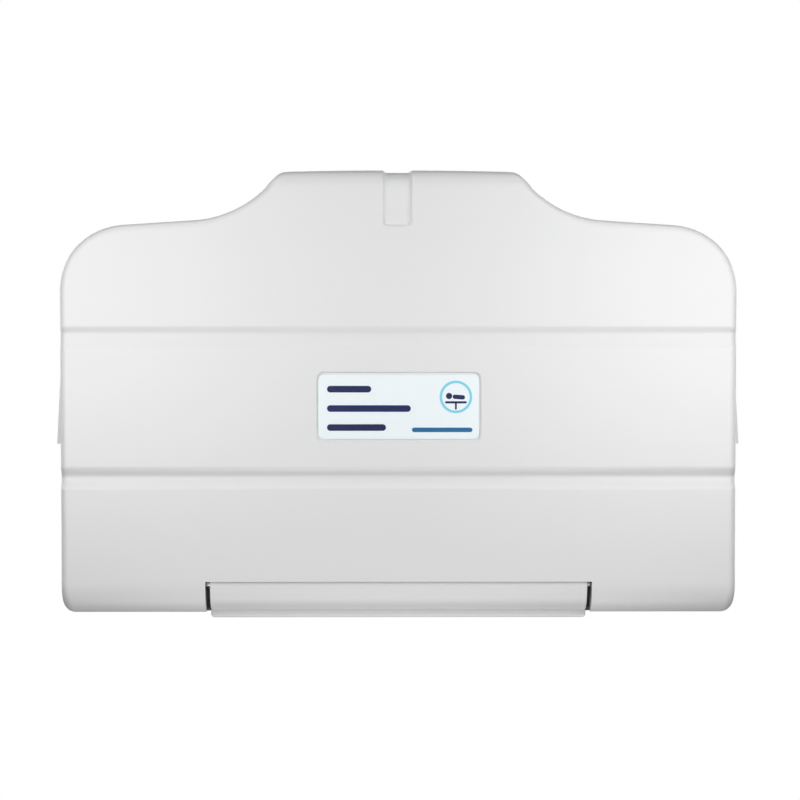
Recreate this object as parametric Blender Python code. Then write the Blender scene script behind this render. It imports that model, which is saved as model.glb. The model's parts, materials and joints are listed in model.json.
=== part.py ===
"""Wall-hung fold-down changing station, shown closed.

Metres, +Z up. The wall is the plane y = 0, the bed's front skin faces -Y, and
z = 0 is near mid-height. Beside the hinge, places are given as (u, w): u
metres in front of the hinge axis and w metres above it.
"""
import math

import bmesh
import bpy
from mathutils import Matrix, Vector

# Driving dimensions, in metres.
AXIS_Y = -0.0605        # hinge axis, out from the wall
AXIS_Z = -0.245         # hinge axis, below mid-height
GAP = 0.0003            # clearance between parts that touch
SKIN_Y = -0.100         # front skin of the closed bed
RIM_Y = -0.054          # open back rim of the bed
WALL = 0.004            # moulded wall thickness of the bed and the housing
BARREL_R = 0.0395       # rounded lower ends of the bed
COVE_R = 0.0362         # hollow of the bed that runs round the fixed cover
COVER_R = 0.0355        # fixed hinge cover
NOTCH_HALF = 0.2495     # half width of the notch in the bed for the cover
COVER_HALF = 0.2436     # half width of the hinge cover
NOTCH_EDGE = 0.0016     # lower edge of the skin in the notch, above the axis
LIP_U = 0.0012          # stop face under the cover
LIP_DROP = 0.047        # bottom of the lip, below the axis
EDGE_R = 0.009          # rounding of the bed's front edges
SIDE_X = 0.4335         # bed's side at the hinge
SHOULDER_X = 0.4365     # bed's side under the shoulder
HUMP_TOP = 0.288        # top of the hump
BULGE_X = 0.4455        # widest place of the housing's side bulges
BULGE_TAPER = 0.0085    # how far a bulge falls back at its upper end
BULGE_Y = (-0.044, -0.010)
BULGE_Z = (-0.066, 0.105)
HOUSING_RIM_Y = -0.050  # front rim of the housing
HOUSING_INSET = 0.0045  # housing outline, inside the bed's outline
HOUSING_DROP = 0.0390   # bottom of the housing, below the axis
SHAFT_R = 0.008
ARM_X = 0.408           # inner face of a hinge arm
ARM_T = 0.005
CRANK_R = 0.024         # crank pin, from the hinge axis
STRUT_U = -0.0205       # line of the gas struts
STRUT_X = 0.399         # middle of a gas strut
STRUT_TOP_W = 0.205     # upper strut pivot, above the axis
ROUND = 48              # sides of a large round shape
TRAY_FLOOR_Y = RIM_Y - 0.033
TRAY_WALL = 0.003
RAIL_T = 0.003
RAIL_FRONT_Y = -WALL - GAP - RAIL_T
RAIL_X = (0.360, 0.4185)
RAIL_Z = (-0.192, 0.150)
SCREW_X = 0.371
SCREW_PLACES = [(x, z) for x in (-SCREW_X, SCREW_X) for z in (-0.110, 0.130)]
SCREW_HOLE_R = 0.0043
LABEL_X = 0.1038        # half width of the label plate
LABEL_Z = (-0.0597, 0.0237)
LABEL_MARGIN = 0.0027   # from the sides of the plate to the sides of its pocket
POCKET_DEPTH = 0.003
STRAP_HALF = 0.019
STRAP_T = 0.002


def clear_scene():
    for item in list(bpy.data.objects):
        bpy.data.objects.remove(item)


def material(name, colour, roughness, metallic=0.0):
    made = bpy.data.materials.new(name)
    made.use_nodes = True
    shader = made.node_tree.nodes["Principled BSDF"]
    shader.inputs["Base Color"].default_value = (*colour, 1.0)
    shader.inputs["Roughness"].default_value = roughness
    shader.inputs["Metallic"].default_value = metallic
    made.diffuse_color = (*colour, 1.0)
    return made


def at(u, w, x=0.0):
    """World point of a place beside the hinge axis."""
    return Vector((x, AXIS_Y - u, AXIS_Z + w))


def finish(name, bm, finish_material=None, parent=None, smooth=35):
    """Turns a bmesh into a named object; its parent keeps it in place."""
    bmesh.ops.recalc_face_normals(bm, faces=bm.faces)
    mesh = bpy.data.meshes.new(name)
    bm.to_mesh(mesh)
    bm.free()
    obj = bpy.data.objects.new(name, mesh)
    bpy.context.collection.objects.link(obj)
    mesh.shade_smooth()
    mesh.set_sharp_from_angle(angle=math.radians(smooth))
    if finish_material:
        mesh.materials.append(finish_material)
    if parent:
        obj.parent = parent
        obj.matrix_parent_inverse = parent.matrix_world.inverted()
    return obj


def guide(name, bm):
    """A cutting or joining shape: it isn't part of the object."""
    obj = finish(name, bm)
    obj.hide_render = True
    obj.display_type = "WIRE"
    return obj


def combine(obj, *steps):
    """Adds one exact Boolean for each (operation, guide) pair."""
    for index, (operation, tool) in enumerate(steps):
        made = obj.modifiers.new(f"step_{index}", "BOOLEAN")
        made.operation = operation
        made.object = tool
        made.solver = "EXACT"


def empty(name, place, parent=None):
    obj = bpy.data.objects.new(name, None)
    bpy.context.collection.objects.link(obj)
    obj.location = place
    bpy.context.view_layer.update()
    if parent:
        obj.parent = parent
        obj.matrix_parent_inverse = parent.matrix_world.inverted()
        bpy.context.view_layer.update()
    return obj


def block(x, y, z, bevel=0.0, segments=2):
    """Box between pairs of limits, with its edges rounded."""
    bm = bmesh.new()
    bmesh.ops.create_cube(bm, size=1.0)
    spans = [pair[1] - pair[0] for pair in (x, y, z)]
    middle = [(pair[1] + pair[0]) / 2 for pair in (x, y, z)]
    bmesh.ops.scale(bm, vec=spans, verts=bm.verts)
    bmesh.ops.translate(bm, vec=middle, verts=bm.verts)
    if bevel:
        bmesh.ops.bevel(bm, geom=bm.edges, offset=bevel, segments=segments, affect="EDGES", profile=0.5)
    return bm


def rod_x(centre, radius, x0, x1, sides=24, bevel=0.0, bevel_segments=1):
    """Cylinder along X whose axis passes through (y, z) of a point."""
    bm = bmesh.new()
    turned = bmesh.ops.create_cone(
        bm, cap_ends=True, segments=sides, radius1=radius, radius2=radius, depth=x1 - x0
    )["verts"]
    turn = Matrix.Rotation(math.pi / 2, 3, "Y")
    bmesh.ops.rotate(bm, cent=(0, 0, 0), matrix=turn, verts=turned)
    bmesh.ops.translate(bm, vec=((x0 + x1) / 2, centre[1], centre[2]), verts=turned)
    if bevel:
        rims = [e for e in bm.edges if sum(len(f.verts) > 4 for f in e.link_faces) == 1]
        bmesh.ops.bevel(
            bm, geom=rims, offset=bevel, segments=bevel_segments, affect="EDGES", profile=0.5
        )
    return bm


def rod_between(start, end, radius, sides=20):
    """Cylinder from one point to another."""
    bm = bmesh.new()
    span = Vector(end) - Vector(start)
    made = bmesh.ops.create_cone(
        bm, cap_ends=True, segments=sides, radius1=radius, radius2=radius, depth=span.length
    )["verts"]
    turn = Vector((0, 0, 1)).rotation_difference(span).to_matrix()
    bmesh.ops.rotate(bm, cent=(0, 0, 0), matrix=turn, verts=made)
    bmesh.ops.translate(bm, vec=(Vector(start) + Vector(end)) / 2, verts=made)
    return bm


def arc(centre, radius, start, end, steps):
    """Points on a circle, angles in degrees."""
    points = []
    for index in range(steps + 1):
        angle = math.radians(start + (end - start) * index / steps)
        points.append((centre[0] + radius * math.cos(angle), centre[1] + radius * math.sin(angle)))
    return points


def bezier(a, b, c, d, steps):
    """Points on a cubic curve, both ends included."""
    points = []
    for index in range(steps + 1):
        t = index / steps
        s = 1 - t
        weights = (s**3, 3 * s * s * t, 3 * s * t * t, t**3)
        points.append(
            tuple(sum(k * p[axis] for k, p in zip(weights, (a, b, c, d))) for axis in (0, 1))
        )
    return points


def profile_along_x(points, x0, x1):
    """Prism along X on a (u, w) outline."""
    bm = bmesh.new()
    face = bm.faces.new([bm.verts.new(at(u, w, x0)) for u, w in points])
    swept = bmesh.ops.extrude_face_region(bm, geom=[face])["geom"]
    moved = [g for g in swept if isinstance(g, bmesh.types.BMVert)]
    bmesh.ops.translate(bm, vec=(x1 - x0, 0, 0), verts=moved)
    return bm


def drawn_in(points, inset):
    """Outline moved inwards by inset; the outline runs anticlockwise."""
    moved = []
    for index, point in enumerate(points):
        before = Vector(point) - Vector(points[index - 1])
        after = Vector(points[(index + 1) % len(points)]) - Vector(point)
        normals = [Vector((-d.y, d.x)).normalized() for d in (before, after)]
        mitre = (normals[0] + normals[1]) / (1 + normals[0].dot(normals[1]))
        moved.append(tuple(Vector(point) + mitre * inset))
    return moved


def plate_from_outline(points, y_back, y_front, inset=0.0):
    """Prism along Y on an (x, z) outline, drawn in by inset."""
    bm = bmesh.new()
    if inset:
        points = drawn_in(points, inset)
    face = bm.faces.new([bm.verts.new((x, y_back, z)) for x, z in points])
    swept = bmesh.ops.extrude_face_region(bm, geom=[face])["geom"]
    moved = [g for g in swept if isinstance(g, bmesh.types.BMVert)]
    bmesh.ops.translate(bm, vec=(0, y_front - y_back, 0), verts=moved)
    return bm


def mirrored(half):
    """Whole outline from its right half, which runs from bottom to top."""
    left = [(-x, z) for x, z in reversed(half) if x > 1e-6]
    return half + left


def rounded_rectangle(half_x, z0, z1, radius, steps=6):
    right = arc((half_x - radius, z0 + radius), radius, -90, 0, steps)
    right += arc((half_x - radius, z1 - radius), radius, 0, 90, steps)
    return mirrored(right)


def bed_outline(bottom):
    """Outline of the bed in front view, down to a straight lower edge."""
    half = [(SIDE_X, bottom), (SIDE_X, AXIS_Z + BARREL_R)]
    half += bezier((SHOULDER_X, 0.133), (0.433, 0.184), (0.393, 0.214), (0.352, 0.2173), 9)
    half += bezier((0.265, 0.223), (0.215, 0.226), (0.180, 0.253), (0.160, 0.277), 7)
    half += bezier((0.1565, 0.2812), (0.153, 0.2855), (0.146, 0.2857), (0.138, 0.2862), 3)
    half += [(0.064, HUMP_TOP)]
    return mirrored(half)


GROOVES = (
    # top edge, depth, height of the upper flank, height of the lower flank, power of its curve
    (0.0885, 0.0048, 0.0125, 0.0200, 1.5),
    (-0.0945, 0.0060, 0.0140, 0.0170, 2.2),
)


def groove_profile(top, depth, flank, run, power):
    """(y, z) section of a groove, closed in front of the skin."""
    points = [(SKIN_Y - 0.01, top), (SKIN_Y, top)]
    for share in (0.2, 0.4, 0.6, 0.8, 1.0):
        points.append((SKIN_Y + depth * share * share * (3 - 2 * share), top - flank * share))
    for share in (0.25, 0.5, 0.7, 0.85, 1.0):
        points.append((SKIN_Y + depth * (1 - share**power), top - flank - run * share))
    points.append((SKIN_Y - 0.01, top - flank - run))
    return points


def section_along_x(points, half_x):
    """Prism along X on a (y, z) section."""
    bm = bmesh.new()
    face = bm.faces.new([bm.verts.new((-half_x, y, z)) for y, z in points])
    swept = bmesh.ops.extrude_face_region(bm, geom=[face])["geom"]
    moved = [g for g in swept if isinstance(g, bmesh.types.BMVert)]
    bmesh.ops.translate(bm, vec=(2 * half_x, 0, 0), verts=moved)
    return bm


def round_front(bm, front_y, offset, segments, lowest):
    """Rounds the front edges of an upright plate above a height."""
    rims = []
    for edge in bm.edges:
        ends = [v.co for v in edge.verts]
        on_front = all(abs(c.y - front_y) < 1e-6 for c in ends)
        bottom = all(c.z < lowest + 1e-6 for c in ends)
        if on_front and not bottom:
            rims.append(edge)
    bmesh.ops.bevel(bm, geom=rims, offset=offset, segments=segments, affect="EDGES", profile=0.5)


def flare_hump(bm):
    """Draws the top of the hump forward into a pull lip."""
    start, full = 0.2680, 0.2815
    reach = 0.0055
    for z in (start, 0.2715, 0.2745, 0.2770, 0.2795, full, 0.284):
        bmesh.ops.bisect_plane(
            bm, geom=bm.verts[:] + bm.edges[:] + bm.faces[:], plane_co=(0, 0, z), plane_no=(0, 0, 1)
        )
    for vert in bm.verts:
        if vert.co.z > start and vert.co.y < SKIN_Y + EDGE_R + 1e-6:
            share = min(1.0, (vert.co.z - start) / (full - start))
            vert.co.y -= reach * share**1.8


def make_outer_shell(parent, plastic):
    """Blow-moulded front of the bed: hump, grooves, recesses and barrel ends."""
    body = plate_from_outline(bed_outline(AXIS_Z), RIM_Y, SKIN_Y)
    round_front(body, SKIN_Y, EDGE_R, 4, AXIS_Z)
    flare_hump(body)
    shell = finish("bed_outer_shell", body, plastic, parent)

    room = plate_from_outline(bed_outline(AXIS_Z + 0.0001), RIM_Y + 0.010, SKIN_Y + 0.0095, WALL)
    for vert in room.verts:
        if vert.co.z < AXIS_Z + 0.006:
            vert.co.z = AXIS_Z - 0.0002
    round_front(room, SKIN_Y + 0.0095, 0.006, 2, AXIS_Z)
    room_guide = guide("shell_room", room)

    steps = []
    for side, label in ((-1, "left"), (1, "right")):
        ends = sorted((side * NOTCH_HALF, side * SIDE_X))
        barrel = rod_x(at(0, 0), BARREL_R, ends[0], ends[1], ROUND, EDGE_R, 4)
        for vert in barrel.verts:
            if abs(vert.co.x) < NOTCH_HALF + EDGE_R + 1e-6:
                offset = Vector((0, vert.co.y - AXIS_Y, vert.co.z - AXIS_Z))
                grown = offset.normalized() * BARREL_R
                vert.co.y = AXIS_Y + grown.y
                vert.co.z = AXIS_Z + grown.z
        bmesh.ops.bisect_plane(
            barrel,
            geom=barrel.verts[:] + barrel.edges[:] + barrel.faces[:],
            plane_co=at(0, 0),
            plane_no=(0, 0, 1),
            clear_outer=True,
        )
        bmesh.ops.holes_fill(barrel, edges=[e for e in barrel.edges if e.is_boundary], sides=0)
        steps.append(("UNION", guide(f"barrel_{label}", barrel)))
        inner = sorted((side * (NOTCH_HALF + WALL), side * (SIDE_X - WALL)))
        hollow = rod_x(at(0, 0), BARREL_R - WALL, inner[0], inner[1], ROUND, 0.006, 2)
        combine(room_guide, ("UNION", guide(f"barrel_room_{label}", hollow)))
    combine(shell, *steps)
    keep = block((-0.5, 0.5), (-0.2, RIM_Y), (-0.4, 0.4))
    combine(shell, ("INTERSECT", guide("rim_plane", keep)))

    cove_points = [(0, -0.06), (0.06, -0.06), (0.06, NOTCH_EDGE)]
    start = math.degrees(math.asin(NOTCH_EDGE / COVE_R))
    cove_points += arc((0, 0), COVE_R, start, 110, 20)
    cove_points += [(-0.03, COVE_R), (-0.03, -0.06)]
    cove = guide("cove", profile_along_x(cove_points, -NOTCH_HALF, NOTCH_HALF))

    grown = COVE_R + WALL
    wall_points = [(0, -0.07), (0.07, -0.07), (0.07, NOTCH_EDGE + WALL)]
    start = math.degrees(math.asin((NOTCH_EDGE + WALL) / grown))
    wall_points += arc((0, 0), grown, start, 110, 20)
    wall_points += [(-0.04, grown), (-0.04, -0.07)]
    reach = NOTCH_HALF + WALL
    cove_wall = guide("cove_wall", profile_along_x(wall_points, -reach, reach))
    combine(room_guide, ("DIFFERENCE", cove_wall))
    combine(shell, ("DIFFERENCE", room_guide), ("DIFFERENCE", cove))

    for index, groove in enumerate(GROOVES):
        section = section_along_x(groove_profile(*groove), 0.5)
        combine(shell, ("DIFFERENCE", guide(f"groove_{index}", section)))

    pocket_low, pocket_high = LABEL_Z[0] - LABEL_MARGIN, LABEL_Z[1] + LABEL_MARGIN
    pocket_outline = rounded_rectangle(LABEL_X + LABEL_MARGIN, pocket_low, pocket_high, 0.0095, 4)
    label_pocket = plate_from_outline(pocket_outline, SKIN_Y - 0.01, SKIN_Y + POCKET_DEPTH)
    hump_points = arc((0.0085, 0.2240), 0.008, -90, 0, 4) + [(0.0180, 0.30)]
    hump_pocket = plate_from_outline(mirrored(hump_points), SKIN_Y - 0.02, SKIN_Y + 0.004)
    slot = rod_x(at(0, 0), 0.0105, -0.300, 0.300, 24)
    combine(
        shell,
        ("DIFFERENCE", guide("label_pocket", label_pocket)),
        ("DIFFERENCE", guide("hump_pocket", hump_pocket)),
        ("DIFFERENCE", guide("shaft_slot", slot)),
    )
    return shell


def make_inner_tray(parent, plastic):
    """Lying surface: a flange with a basin, closing the back of the shell."""
    flange_front = RIM_Y - 0.0035
    low = AXIS_Z + COVE_R + WALL
    flange = plate_from_outline(bed_outline(low - WALL), RIM_Y, flange_front, WALL + GAP)
    tray = finish("bed_inner_tray", flange, plastic, parent)
    half_x, z0, z1 = 0.397, AXIS_Z + 0.066, 0.192
    corner = 0.042
    outer_box = (half_x + TRAY_WALL, z0 - TRAY_WALL, z1 + TRAY_WALL, corner + TRAY_WALL)
    outer = basin(*outer_box, RIM_Y - 0.0015, TRAY_FLOOR_Y - TRAY_WALL)
    inner = basin(half_x, z0, z1, corner, RIM_Y + 0.004, TRAY_FLOOR_Y)
    combine(
        tray,
        ("UNION", guide("basin_outer", outer)),
        ("DIFFERENCE", guide("basin_inner", inner)),
    )
    return tray


def basin(half_x, z0, z1, radius, y_open, y_floor):
    """Solid of a shallow basin with sloping walls."""
    draft = 0.012
    bm = plate_from_outline(rounded_rectangle(half_x, z0, z1, radius), y_open, y_floor)
    middle = (z0 + z1) / 2
    for vert in bm.verts:
        if abs(vert.co.y - y_floor) < 1e-6:
            vert.co.x *= 1 - draft / half_x
            vert.co.z = middle + (vert.co.z - middle) * (1 - 2 * draft / (z1 - z0))
    floor_edges = [e for e in bm.edges if all(abs(v.co.y - y_floor) < 1e-6 for v in e.verts)]
    bmesh.ops.bevel(bm, geom=floor_edges, offset=0.008, segments=3, affect="EDGES", profile=0.5)
    return bm


def make_housing(plastic):
    """Fixed back of the station: a shallow open box against the wall."""
    low = AXIS_Z - HOUSING_DROP - HOUSING_INSET
    body = plate_from_outline(bed_outline(low), 0.0, HOUSING_RIM_Y, HOUSING_INSET)
    housing = finish("rear_housing", body, plastic)
    room = plate_from_outline(bed_outline(low), -WALL, HOUSING_RIM_Y - 0.01, HOUSING_INSET + WALL)
    swing = rod_x(at(0, 0), BARREL_R + 0.002, -0.5, 0.5, ROUND)
    cover_space = block(
        (-COVER_HALF - 0.001, COVER_HALF + 0.001),
        (HOUSING_RIM_Y - 0.01, -WALL),
        (AXIS_Z - 0.06, AXIS_Z + COVER_R),
    )
    steps = [
        ("DIFFERENCE", guide("housing_room", room)),
        ("DIFFERENCE", guide("swing_room", swing)),
        ("DIFFERENCE", guide("cover_space", cover_space)),
    ]
    for side, label in ((-1, "left"), (1, "right")):
        bulge = block((SIDE_X - 0.006, BULGE_X), BULGE_Y, BULGE_Z)
        for vert in bulge.verts:
            if vert.co.x > SIDE_X and vert.co.z > 0:
                vert.co.x -= BULGE_TAPER
            vert.co.x *= side
        steps.append(("UNION", guide(f"bulge_{label}", bulge)))
    for x, z in SCREW_PLACES:
        hole = rod_between((x, 0.01, z), (x, -0.02, z), SCREW_HOLE_R, 16)
        steps.append(("DIFFERENCE", guide(f"wall_hole_{x:.3f}_{z:.3f}", hole)))
    combine(housing, *steps)
    return housing


def make_hinge_cover(plastic):
    """Fixed rounded ledge over the shaft, with the lip that stops the bed."""
    back_u = -(abs(AXIS_Y) - WALL - GAP)
    reach = math.degrees(math.acos(LIP_U / COVER_R))
    points = [(back_u, COVER_R)] + arc((0, 0), COVER_R, 90, -reach, 24)
    points += [(LIP_U, -LIP_DROP), (back_u, -LIP_DROP)]
    body = profile_along_x(points, -COVER_HALF, COVER_HALF)
    corners = []
    for edge in body.edges:
        ends = [v.co for v in edge.verts]
        at_end = abs(abs(ends[0].x) - COVER_HALF) < 1e-6 and abs(ends[0].x - ends[1].x) < 1e-6
        low = all(c.z < AXIS_Z - LIP_DROP + 1e-6 for c in ends)
        if at_end and low:
            corners.append(edge)
    bmesh.ops.bevel(body, geom=corners, offset=0.0045, segments=4, affect="EDGES", profile=0.5)
    cover = finish("hinge_cover", body, plastic)
    wall = 0.003
    inner = [(back_u - 0.01, COVER_R - wall)] + arc((0, 0), COVER_R - wall, 90, -80, 20)
    inner += [(LIP_U - wall, -COVER_R + wall), (LIP_U - wall, -LIP_DROP + wall)]
    inner += [(back_u - 0.01, -LIP_DROP + wall)]
    room = profile_along_x(inner, -COVER_HALF + 0.006, COVER_HALF - 0.006)
    hole = rod_x(at(0, 0), SHAFT_R + 0.0005, -0.3, 0.3, 24)
    combine(
        cover,
        ("DIFFERENCE", guide("cover_room", room)),
        ("DIFFERENCE", guide("cover_shaft_hole", hole)),
    )


def make_side(side, bed, steel, zinc, bronze, black, plastic):
    """Mechanism at one end: rail, brackets, arm, crank and gas strut."""
    label = "left" if side < 0 else "right"

    def span(near, far):
        return tuple(sorted((side * near, side * far)))

    rail = block(span(*RAIL_X), (RAIL_FRONT_Y, -WALL - GAP), RAIL_Z, 0.0005, 1)
    rail_obj = finish(f"mounting_rail_{label}", rail, zinc)
    for x, z in SCREW_PLACES:
        if x * side > 0:
            hole = rod_between((x, 0.01, z), (x, -0.02, z), SCREW_HOLE_R, 16)
            combine(rail_obj, ("DIFFERENCE", guide(f"rail_hole_{x:.3f}_{z:.3f}", hole)))

    foot_u = AXIS_Y - RAIL_FRONT_Y + GAP
    lever = [(foot_u, 0.098), (foot_u, 0.056)]
    lever += [(foot_u + 0.004, 0.044), (-0.0140, 0.0035)]
    lever += arc((0, 0), 0.0140, 180, 360, 10)
    lever += arc((0, 0), 0.0140, 30, 80, 3)
    lever += [(-0.020, 0.058), (foot_u + 0.006, 0.098)]
    bracket = finish(
        f"shaft_bracket_{label}", profile_along_x(lever, *span(0.376, 0.382)), zinc
    )
    bore = rod_x(at(0, 0), SHAFT_R + 0.0003, *span(0.37, 0.39), 24)
    combine(bracket, ("DIFFERENCE", guide(f"bracket_bore_{label}", bore)))

    top = at(STRUT_U, STRUT_TOP_W)
    ear = [(foot_u, -0.018), (foot_u, 0.018), (STRUT_U + 0.004, 0.009), (STRUT_U + 0.009, 0)]
    ear += [(STRUT_U + 0.004, -0.009)]
    ear = [(u, w + STRUT_TOP_W) for u, w in ear]
    clevis = finish(
        f"strut_bracket_{label}", profile_along_x(ear, *span(STRUT_X - 0.010, STRUT_X + 0.010)), zinc
    )
    gap_low, gap_high = span(STRUT_X - 0.0055, STRUT_X + 0.0055)
    middle = block((gap_low, gap_high), (top.y - 0.03, RAIL_FRONT_Y - 0.004), (top.z - 0.04, top.z + 0.04))
    bore = rod_x(top, 0.0043, *span(STRUT_X - 0.02, STRUT_X + 0.02), 20)
    combine(
        clevis,
        ("DIFFERENCE", guide(f"clevis_gap_{label}", middle)),
        ("DIFFERENCE", guide(f"clevis_bore_{label}", bore)),
    )
    pin = rod_x(top, 0.004, *span(STRUT_X - 0.012, STRUT_X + 0.012), 20, 0.0005)
    finish(f"strut_pin_{label}", pin, steel)

    tube_low, tube_high = at(STRUT_U, 0.064), at(STRUT_U, STRUT_TOP_W - 0.006)
    tube_low.x = tube_high.x = side * STRUT_X
    tube = finish(f"strut_cylinder_{label}", rod_between(tube_low, tube_high, 0.0085), black)
    eye = rod_x(top, 0.0090, *span(STRUT_X - 0.0050, STRUT_X + 0.0050), 24)
    eye_hole = rod_x(top, 0.0043, *span(STRUT_X - 0.02, STRUT_X + 0.02), 20)
    side_relief = span(STRUT_X - 0.0050, STRUT_X - 0.02), span(STRUT_X + 0.0050, STRUT_X + 0.02)
    relief_z = (top.z - 0.0225, top.z + 0.02)
    bore_top = at(STRUT_U, STRUT_TOP_W - 0.012)
    bore_top.x = side * STRUT_X
    bore_low = at(STRUT_U, 0.050)
    bore_low.x = side * STRUT_X
    steps = []
    for number, x_span in enumerate(side_relief):
        cut = block(x_span, (top.y - 0.02, top.y + 0.02), relief_z)
        steps.append(("DIFFERENCE", guide(f"tube_relief_{label}_{number}", cut)))
    steps.append(("UNION", guide(f"tube_eye_{label}", eye)))
    steps.append(("DIFFERENCE", guide(f"tube_eye_hole_{label}", eye_hole)))
    bore_top = bore_top - Vector((0, 0, 0.012))
    steps.append(("DIFFERENCE", guide(f"tube_bore_{label}", rod_between(bore_low, bore_top, 0.0045, 16))))
    combine(tube, *steps)

    crank = CRANK_R / math.sqrt(2)
    pin_place = at(-crank, -crank)
    eye_place = at(STRUT_U, -crank)
    slider = empty(f"strut_line_{label}", (side * STRUT_X, eye_place.y, eye_place.z))
    rod_low, rod_high = eye_place + Vector((0, 0, 0.009)), eye_place + Vector((0, 0, 0.160))
    rod_low.x = rod_high.x = side * STRUT_X
    rod = finish(f"strut_rod_{label}", rod_between(rod_low, rod_high, 0.004, 16), steel, slider)
    ring = rod_x(eye_place, 0.0110, *span(STRUT_X - 0.004, STRUT_X + 0.004), 28)
    ring_hole = rod_x(eye_place, 0.0074, *span(STRUT_X - 0.02, STRUT_X + 0.02), 28)
    combine(
        rod,
        ("UNION", guide(f"rod_eye_{label}", ring)),
        ("DIFFERENCE", guide(f"rod_eye_hole_{label}", ring_hole)),
    )

    arm_points = [(0.0150, 0.150), (0.0040, 0.150), (-0.0015, 0.120), (-0.0015, 0.030)]
    arm_points += [(-0.0130, 0.0085)]
    arm_points += arc((-crank, -crank), 0.0075, 150, 290, 8)
    arm_points += arc((0, 0), 0.0160, 310, 360, 5)
    arm_points += [(0.0240, 0.030), (0.0240, 0.120)]
    arm = finish(
        f"hinge_arm_{label}", profile_along_x(arm_points, *span(ARM_X, ARM_X + ARM_T)), zinc, bed
    )
    hub_hole = rod_x(at(0, 0), 0.0122, *span(ARM_X - 0.01, ARM_X + 0.02), 28)
    combine(arm, ("DIFFERENCE", guide(f"arm_hole_{label}", hub_hole)))
    bush = rod_x(at(0, 0), 0.0119, *span(ARM_X - 0.002, ARM_X + 0.012), 28, 0.0005)
    bush_obj = finish(f"hinge_bush_{label}", bush, bronze, bed)
    bore = rod_x(at(0, 0), SHAFT_R + 0.0003, *span(ARM_X - 0.01, ARM_X + 0.02), 28)
    combine(bush_obj, ("DIFFERENCE", guide(f"bush_bore_{label}", bore)))
    crank_pin = finish(
        f"crank_pin_{label}",
        rod_x(pin_place, 0.0030, *span(STRUT_X - 0.0070, ARM_X - GAP), 16, 0.0004),
        steel,
        bed,
    )
    head = rod_x(pin_place, 0.0060, *span(STRUT_X - 0.0085, STRUT_X - 0.0058), 20)
    combine(crank_pin, ("UNION", guide(f"pin_head_{label}", head)))

    cap_points = [(SIDE_X + GAP, 0.0), (SIDE_X + GAP, 0.0175), (SIDE_X + 0.0014, 0.0175)]
    cap_points += [(SIDE_X + 0.0026, 0.0155), (SIDE_X + 0.0034, 0.0110), (SIDE_X + 0.0037, 0.0)]
    cap = bmesh.new()
    chain = [cap.verts.new((side * x, AXIS_Y, AXIS_Z + r)) for x, r in cap_points]
    edges = [cap.edges.new(pair) for pair in zip(chain, chain[1:])]
    bmesh.ops.spin(
        cap, geom=chain + edges, cent=at(0, 0), axis=(1, 0, 0), angle=2 * math.pi, steps=32,
        use_merge=True,
    )
    bmesh.ops.remove_doubles(cap, verts=cap.verts, dist=1e-6)
    finish(f"pivot_cap_{label}", cap, plastic, bed)


def make_fasteners(steel):
    """Hexagon-head screws and washers that hold the rails to the wall."""
    washer_back = RAIL_FRONT_Y - GAP
    washer_front = washer_back - 0.0015
    for number, (x, z) in enumerate(SCREW_PLACES, 1):
        ring = rod_between((x, washer_back, z), (x, washer_front, z), 0.0095, 28)
        washer = finish(f"wall_washer_{number}", ring, steel)
        hole = rod_between((x, washer_back + 0.01, z), (x, washer_front - 0.01, z), SCREW_HOLE_R, 20)
        combine(washer, ("DIFFERENCE", guide(f"washer_hole_{number}", hole)))
        head = rod_between((x, washer_front - GAP, z), (x, washer_front - 0.0055, z), 0.0075, 6)
        screw = finish(f"wall_screw_{number}", head, steel)
        shank = rod_between((x, -GAP, z), (x, washer_front - 0.003, z), 0.0040, 16)
        combine(screw, ("UNION", guide(f"screw_shank_{number}", shank)))


def make_dispenser(plastic, paper):
    """Box for folded paper liners, which are drawn out through a slot."""
    x, z = (-0.135, 0.135), (0.030, 0.165)
    back, front = -WALL - GAP, -0.0440
    box = finish("liner_dispenser", block(x, (front, back), z, 0.004, 2), plastic)
    wall = 0.003
    room = block((x[0] + wall, x[1] - wall), (front + wall, back - wall), (z[0] + wall, z[1] - wall))
    slot = block((-0.105, 0.105), (front - 0.01, front + 0.02), (0.044, 0.068), 0.0)
    combine(
        box,
        ("DIFFERENCE", guide("dispenser_room", room)),
        ("DIFFERENCE", guide("dispenser_slot", slot)),
    )
    stack = block((-0.128, 0.128), (front + 0.008, back - wall - GAP), (0.034, 0.150), 0.002, 1)
    finish("liner_stack", stack, paper)


def make_hooks(plastic):
    """Two hooks for a bag, on the back wall of the housing."""
    for side, label in ((-1, "left"), (1, "right")):
        back = -WALL - GAP
        outer = [(back, 0.075), (back - 0.004, 0.075), (back - 0.004, 0.026)]
        outer += [(-0.014, 0.020), (-0.030, 0.020), (-0.036, 0.026), (-0.036, 0.044), (-0.041, 0.044)]
        outer += [(-0.041, 0.022), (-0.033, 0.0145), (back, 0.0145)]
        bm = section_along_x([(y, z + 0.080) for y, z in outer], 0.009)
        bmesh.ops.translate(bm, vec=(side * 0.255, 0, 0), verts=bm.verts)
        finish(f"bag_hook_{label}", bm, plastic)


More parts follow.
